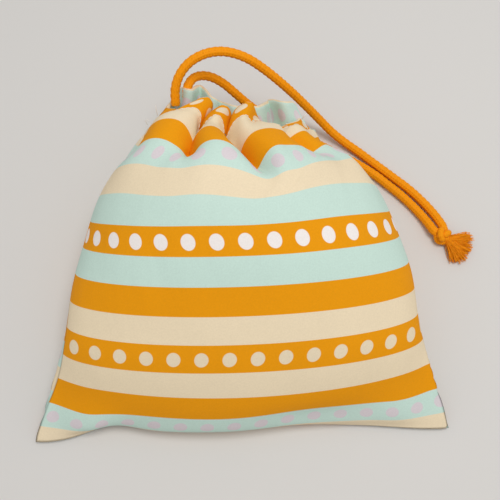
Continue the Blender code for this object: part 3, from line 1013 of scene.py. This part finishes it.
def braid_group() -> NodeGroup:
    """Yarns that wind both ways round a line, over and under each other."""
    group = NodeGroup("braid", {
        "Diameter": ("NodeSocketFloat", 0.005),
        "Yarns Each Way": ("NodeSocketInt", 8),
        "Pitch": ("NodeSocketFloat", 0.012),
        "Yarn Width": ("NodeSocketFloat", 0.0019),
        "Yarn Thickness": ("NodeSocketFloat", 0.0007),
        "Step": ("NodeSocketFloat", 0.0006),
        "Material": ("NodeSocketMaterial", None),
    })
    given = group.given
    links = {0: given["Geometry"], "Length": given["Step"]}
    line = group.get("GeometryNodeResampleCurve", links, mode="LENGTH")
    both = group.add("GeometryNodeJoinGeometry")
    for way in (1.0, -1.0):
        links = {0: line, "Amount": given["Yarns Each Way"]}
        copies = group.add("GeometryNodeDuplicateElements", links, domain="SPLINE")
        turns = group.get("GeometryNodeSplineParameter", out="Length") / given["Pitch"]
        angle = (Value(group, copies.outputs[1]) / given["Yarns Each Way"] + turns * way) * math.tau
        tangent = group.get("GeometryNodeInputTangent")
        normal = group.get("GeometryNodeInputNormal")
        aside = group.vector("CROSS_PRODUCT", {0: tangent, 1: normal})
        over = group.math("SINE", turns * given["Yarns Each Way"] * math.tau) * way
        radius = given["Diameter"] * 0.5 - given["Yarn Thickness"] + over * (given["Yarn Thickness"] * 0.45)
        first = group.vector("SCALE", {0: normal, "Scale": group.math("COSINE", angle)})
        second = group.vector("SCALE", {0: aside, "Scale": group.math("SINE", angle)})
        away = group.vector("ADD", {0: first, 1: second})
        offset = group.vector("SCALE", {0: away, "Scale": radius})
        links = {0: Value(group, copies.outputs[0]), "Name": "away", 3: away}
        held = group.get("GeometryNodeStoreNamedAttribute", links, data_type="FLOAT_VECTOR", domain="POINT")
        moved = group.get("GeometryNodeSetPosition", {0: held, "Offset": offset})
        radial = group.get("GeometryNodeInputNamedAttribute", {0: "away"}, data_type="FLOAT_VECTOR")
        upright = group.get("GeometryNodeSetCurveNormal", {0: moved, "Normal": radial}, mode="FREE")
        group.link(upright, both.inputs[0])
    half = given["Yarn Width"] * 0.5
    oval = group.join(given["Yarn Thickness"] * 0.6, half, half)
    group.finish(group.tube(Value(group, both.outputs[0]), 7, 1.0, oval))
    return group


def smooth_route(points: Array, step: float) -> Array:
    """Evenly spaced points on a smooth curve through a route's own points.

    Args:
        points: The route's points.
        step: The wanted spacing.

    Returns:
        The spaced points, with both ends of the route.
    """
    ends = np.concatenate([[2 * points[0] - points[1]], points, [2 * points[-1] - points[-2]]])
    u = np.linspace(0, 1, 12, endpoint=False)[:, None]
    spans = []
    for before, start, end, after in zip(ends, ends[1:], ends[2:], ends[3:]):
        bend = 2 * before - 5 * start + 4 * end - after
        twist = 3 * (start - end) + after - before
        spans.append(0.5 * (2 * start + (end - before) * u + bend * u**2 + twist * u**3))
    fine = np.concatenate([*spans, points[-1:]])
    arc = np.concatenate([[0.0], np.cumsum(np.linalg.norm(np.diff(fine, axis=0), axis=1))])
    spots = np.linspace(0, arc[-1], max(round(arc[-1] / step), 2) + 1)
    return np.stack([np.interp(spots, arc, fine[:, k]) for k in range(3)], axis=-1)


def line_object(name: str, *lines: Array, closed: bool = False) -> bpy.types.Object:
    """A curve with one spline for each line of points, in metres."""
    data = bpy.data.curves.new(name, "CURVE")
    data.dimensions = "3D"
    for points in lines:
        spline = data.splines.new("POLY")
        spline.points.add(len(points) - 1)
        for target, point in zip(spline.points, points):
            target.co = (*point, 1.0)
        spline.use_cyclic_u = closed
    return link_object(name, data)


def stitch_group() -> NodeGroup:
    """Short round stitches set end to end along a line."""
    group = NodeGroup("stitches", {
        "Pitch": ("NodeSocketFloat", 0.0028),
        "Stitch Length": ("NodeSocketFloat", 0.0022),
        "Thread": ("NodeSocketFloat", 0.00032),
        "Material": ("NodeSocketMaterial", None),
    })
    given = group.given
    links = {0: given["Geometry"], "Length": given["Pitch"]}
    spots = group.add("GeometryNodeCurveToPoints", links, mode="LENGTH")
    bead = group.get("GeometryNodeMeshUVSphere", {"Segments": 6, "Rings": 6, "Radius": 0.5})
    size = group.join(given["Thread"], given["Thread"], given["Stitch Length"])
    links = {"Instance": group.get("GeometryNodeTransform", {0: bead, "Scale": size})}
    for label in ("Points", "Rotation"):
        links[label] = Value(group, spots.outputs[label])
    group.finish(group.get("GeometryNodeInstanceOnPoints", links))
    return group


def thread_group() -> NodeGroup:
    """A round thread along each line."""
    group = NodeGroup("threads", {
        "Thread": ("NodeSocketFloat", 0.0003),
        "Material": ("NodeSocketMaterial", None),
    })
    group.finish(group.tube(group.given["Geometry"], 6, group.given["Thread"] * 0.5))
    return group


def hand_over(piece: bpy.types.Object, node: str | None = None) -> None:
    """Fix a piece to the part, in place of a CAD node if one is named, and log it."""
    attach(piece, "root")
    if node:
        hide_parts(node)
    log.info("%s has %d faces", piece.name, len(piece.data.polygons))


@dataclass
class Sewing:
    """The casing's stitches, inside and out, and the cut threads left at the seams."""

    ends: tuple[tuple[Point, ...], ...] = (
        ((-44.6, 157.9, 41.0), (-44.5, 158.4, 44.0), (-44.8, 159.3, 46.0), (-44.9, 160.4, 47.0)),
        ((-49.7, 153.7, 39.0), (-50.3, 153.7, 42.0), (-49.8, 154.3, 43.5), (-48.4, 153.3, 44.0)),
        ((30.4, 156.1, 40.0), (30.7, 155.0, 44.0), (31.5, 154.9, 46.0), (32.5, 156.0, 46.5)),
    )

    def build(self, lines: list[Array]) -> None:
        """Make both pieces.

        Args:
            lines: Closed lines round the pouch, in metres, that the stitches follow.
        """
        look = {"Material": SewingThread().build()}
        rows = stitch_group().apply(line_object("stitch_lines", *lines, closed=True), "casing_stitches", look)
        fine = [smooth_route(in_part(end), 0.0005) for end in self.ends]
        cut = thread_group().apply(line_object("cut_ends", *fine), "loose_threads", look)
        for piece in (rows, cut):
            hand_over(piece)


@dataclass
class Drawcord:
    """The two braided strands that come out at the left seam, their knot and their frayed ends."""

    diameter: float = 5.0
    over_route: tuple[Point, ...] = (
        (-35, 162.5, 44), (-34.8, 168.5, 49.5), (-32.2, 174, 54), (-27, 179, 57.4), (-19.8, 182.6, 59),
        (-12.2, 184.6, 58.6), (-5, 185, 56.6), (2.4, 184.3, 53), (10, 182.7, 47.3), (18.3, 180.4, 39.8),
        (27.2, 177.8, 30.6), (36, 175, 20.6), (43.4, 172, 12.6), (50.2, 168, 7), (57.6, 163, 4),
        (65.2, 157.6, 2.8), (71.9, 151.9, 2.7), (78.5, 146.2, 2.7), (85.3, 140.3, 2.7), (91.8, 134.6, 2.7),
        (97.4, 128.8, 2.7), (102.4, 122.6, 2.9), (106.2, 116.4, 3.8), (108.9, 110.2, 5), (109.2, 107.2, 5.2),
    )
    behind_route: tuple[Point, ...] = (
        (-29.5, 167.5, 41), (-29.3, 173.5, 43.4), (-26.4, 179, 43.4), (-21.6, 182.3, 41), (-16, 183, 37.8),
        (-10.4, 181.8, 33.8), (-4.8, 179.4, 29), (0.8, 177.2, 23.6), (7.4, 175.2, 17.4), (15, 173.4, 11.2),
        (24, 171, 6.2), (34, 167, 3.4), (45, 161, 2.7), (56, 154.6, 2.7), (66, 148.6, 2.7),
        (74.7, 142.2, 2.7), (80.9, 136.6, 2.7), (87.2, 130.8, 2.7), (93, 124.6, 2.7), (97.8, 118.6, 2.8),
        (101.3, 112.9, 3.8), (103.9, 107.7, 5), (105.4, 106.6, 5.2),
    )
    knot_centre: Point = (108.3, 104.8, 5.0)
    knot_tilt: Point = (58.0, 12.0, 28.0)
    knot_ring: float = 2.15
    knot_tube: float = 1.25
    knot_height: float = 1.35
    knot_cord: float = 3.9
    tassel_root: Point = (110.4, 103.6, 4.6)

    def knot_line(self) -> Array:
        """The line of an overhand knot drawn tight, a closed trefoil."""
        t = np.linspace(0, math.tau, 120, endpoint=False)
        around = self.knot_ring + self.knot_tube * np.cos(3 * t)
        height = self.knot_height * self.knot_tube * np.sin(3 * t)
        trefoil = np.stack([around * np.cos(2 * t), around * np.sin(2 * t), height], axis=-1)
        tilt = np.array(Euler([math.radians(angle) for angle in self.knot_tilt]).to_matrix())
        return in_part(trefoil @ tilt.T + np.array(self.knot_centre))

    def build(self) -> None:
        yarn = CordYarn()
        group = braid_group()
        look = {"Diameter": self.diameter * MM, "Material": yarn.build("braided polyester cord", yarn.colour)}
        finer = {**look, "Diameter": self.knot_cord * MM, "Yarn Width": 0.0016}
        knot = group.apply(line_object("knot_line", self.knot_line(), closed=True), "cord_knot", finer)
        hand_over(knot, "knot")
        tassel = self.build_tassel(yarn.build("frayed polyester yarn", yarn.tip_colour))
        hand_over(tassel, "tassel")
        strands = (("over", self.over_route, (knot, tassel)), ("behind", self.behind_route, ()))
        for name, route, pieces in strands:
            path = smooth_route(in_part(route), 0.002)
            strand = group.apply(line_object("line_" + name, path), "braid_" + name, look)
            hand_over(strand, "cord_strand_" + name)

    def build_tassel(self, finish: bpy.types.Material) -> bpy.types.Object:
        """The cord's ends past the knot, frayed into fibres that spread on the table."""
        root = np.array(self.tassel_root)
        along = np.linspace(0, 1, 9)[:, None] * np.array([1.0, 0, 0])
        line = line_object("tassel_line", in_part(root + along))
        return fray_group().apply(line, "frayed_fibres", {"Root": tuple(in_part(root)), "Material": finish})


def fray_group() -> NodeGroup:
    """Fibres that fan out from one root, gathered into tufts, and come down on the table."""
    group = NodeGroup("fray", {
        "Root": ("NodeSocketVector", None),
        "Fibres": ("NodeSocketInt", 520),
        "Tufts": ("NodeSocketInt", 9),
        "First Angle": ("NodeSocketFloat", 9.0),
        "Last Angle": ("NodeSocketFloat", -72.0),
        "Length": ("NodeSocketFloat", 0.0155),
        "Fibre Width": ("NodeSocketFloat", 0.00026),
        "Seed": ("NodeSocketInt", 7),
        "Material": ("NodeSocketMaterial", None),
    })
    given = group.given
    links = {0: given["Geometry"], "Amount": given["Fibres"]}
    copies = group.add("GeometryNodeDuplicateElements", links, domain="SPLINE")
    own = Value(group, copies.outputs[1])

    def chance(low: float, high: float, seed: int) -> Value:
        """A number of each fibre's own."""
        draw = {2: low, 3: high, "ID": own, "Seed": given["Seed"] + float(seed)}
        return group.get("FunctionNodeRandomValue", draw, 1, data_type="FLOAT")

    share = group.get("GeometryNodeSplineParameter", out="Factor")
    tuft = own % given["Tufts"]
    fan = tuft / (given["Tufts"] - 1.0) * (given["Last Angle"] - given["First Angle"])
    angle = group.math("RADIANS", given["First Angle"] + fan + chance(-1.0, 1.0, 1) * 6.5)
    sine, cosine = group.math("SINE", angle), group.math("COSINE", angle)
    ragged = 0.9 + group.math("SINE", tuft * 2.3) * 0.09
    run = given["Length"] * ragged * chance(0.86, 1.04, 2) * share
    wave = group.math("SINE", (share + chance(0, 9, 5)) * 5.0) * 0.0005
    aside = chance(-0.0014, 0.0014, 3) + wave * share
    heap = chance(0.0, 1.0, 4) * 0.0036
    fall = group.math("POWER", share, 0.75)
    z = (0.0032 + heap * 0.8) * (1.0 - fall) + (0.0003 + heap) * fall
    local = group.join(cosine * run - sine * aside, sine * run + cosine * aside, z)
    flat = group.vector("MULTIPLY", {0: given["Root"], 1: (1.0, 1.0, 0.0)})
    place = group.vector("ADD", {0: flat, 1: local})
    moved = group.get("GeometryNodeSetPosition", {0: Value(group, copies.outputs[0]), "Position": place})
    group.finish(group.tube(moved, 4, given["Fibre Width"] * 0.5))
    return group


@dataclass(frozen=True)
class Studio:
    """The camera at the photograph's place, above the pouch's lower end, and soft light on a pale floor.

    The lamp hangs overhead, a little to the right, and the world lights the shadows.
    """

    lens: float = 46.8
    camera_place: Point = (0.0035, -0.0986, 0.336)
    camera_tilt: float = 19.5
    floor_edge: float = 1.5
    floor_colour: str = "#D9D6D2"
    lamp_place: Point = (0.16, 0.06, 0.9)
    lamp_watts: float = 3.8
    lamp_size: float = 0.35
    world_level: float = 0.52

    def build(self) -> None:
        """Put the camera, the floor, the lamp and the world in place."""
        scene = bpy.context.scene
        camera = bpy.data.cameras.new("camera")
        camera.lens = self.lens
        camera.clip_start = 0.01
        scene.camera = link_object("camera", camera)
        scene.camera.location = self.camera_place
        scene.camera.rotation_euler = (math.radians(self.camera_tilt), 0.0, 0.0)
        sheet = bpy.data.meshes.new("floor")
        edge = self.floor_edge
        corners = [(-edge, -edge, 0), (edge, -edge, 0), (edge, edge, 0), (-edge, edge, 0)]
        sheet.from_pydata(corners, [], [(0, 1, 2, 3)])
        made, _, shader = new_material("matt paper floor")
        shader.inputs["Base Color"].default_value = linear(self.floor_colour)
        shader.inputs["Roughness"].default_value = 0.9
        sheet.materials.append(made)
        link_object("floor", sheet)
        lamp = bpy.data.lights.new("soft lamp", "AREA")
        lamp.energy = self.lamp_watts
        lamp.size = self.lamp_size
        holder = link_object("soft lamp", lamp)
        holder.location = self.lamp_place
        holder.rotation_euler = (-Vector(self.lamp_place)).to_track_quat("-Z", "Y").to_euler()
        scene.world = bpy.data.worlds.new("studio")
        scene.world.use_nodes = True
        background = scene.world.node_tree.nodes["Background"]
        background.inputs[0].default_value = (1, 1, 1, 1)
        background.inputs[1].default_value = self.world_level
        scene.view_settings.view_transform = "Standard"


def main() -> None:
    """Build the pouch round the CAD frame."""
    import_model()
    Studio().build()
    pouch = PouchBody()
    body = pouch.build_mesh()
    body.data.materials.append(PrintedCotton().build())
    hand_over(body, "pouch_body")
    Sewing().build(pouch.stitch_lines)
    Drawcord().build()


if __name__ == "__main__":
    main()
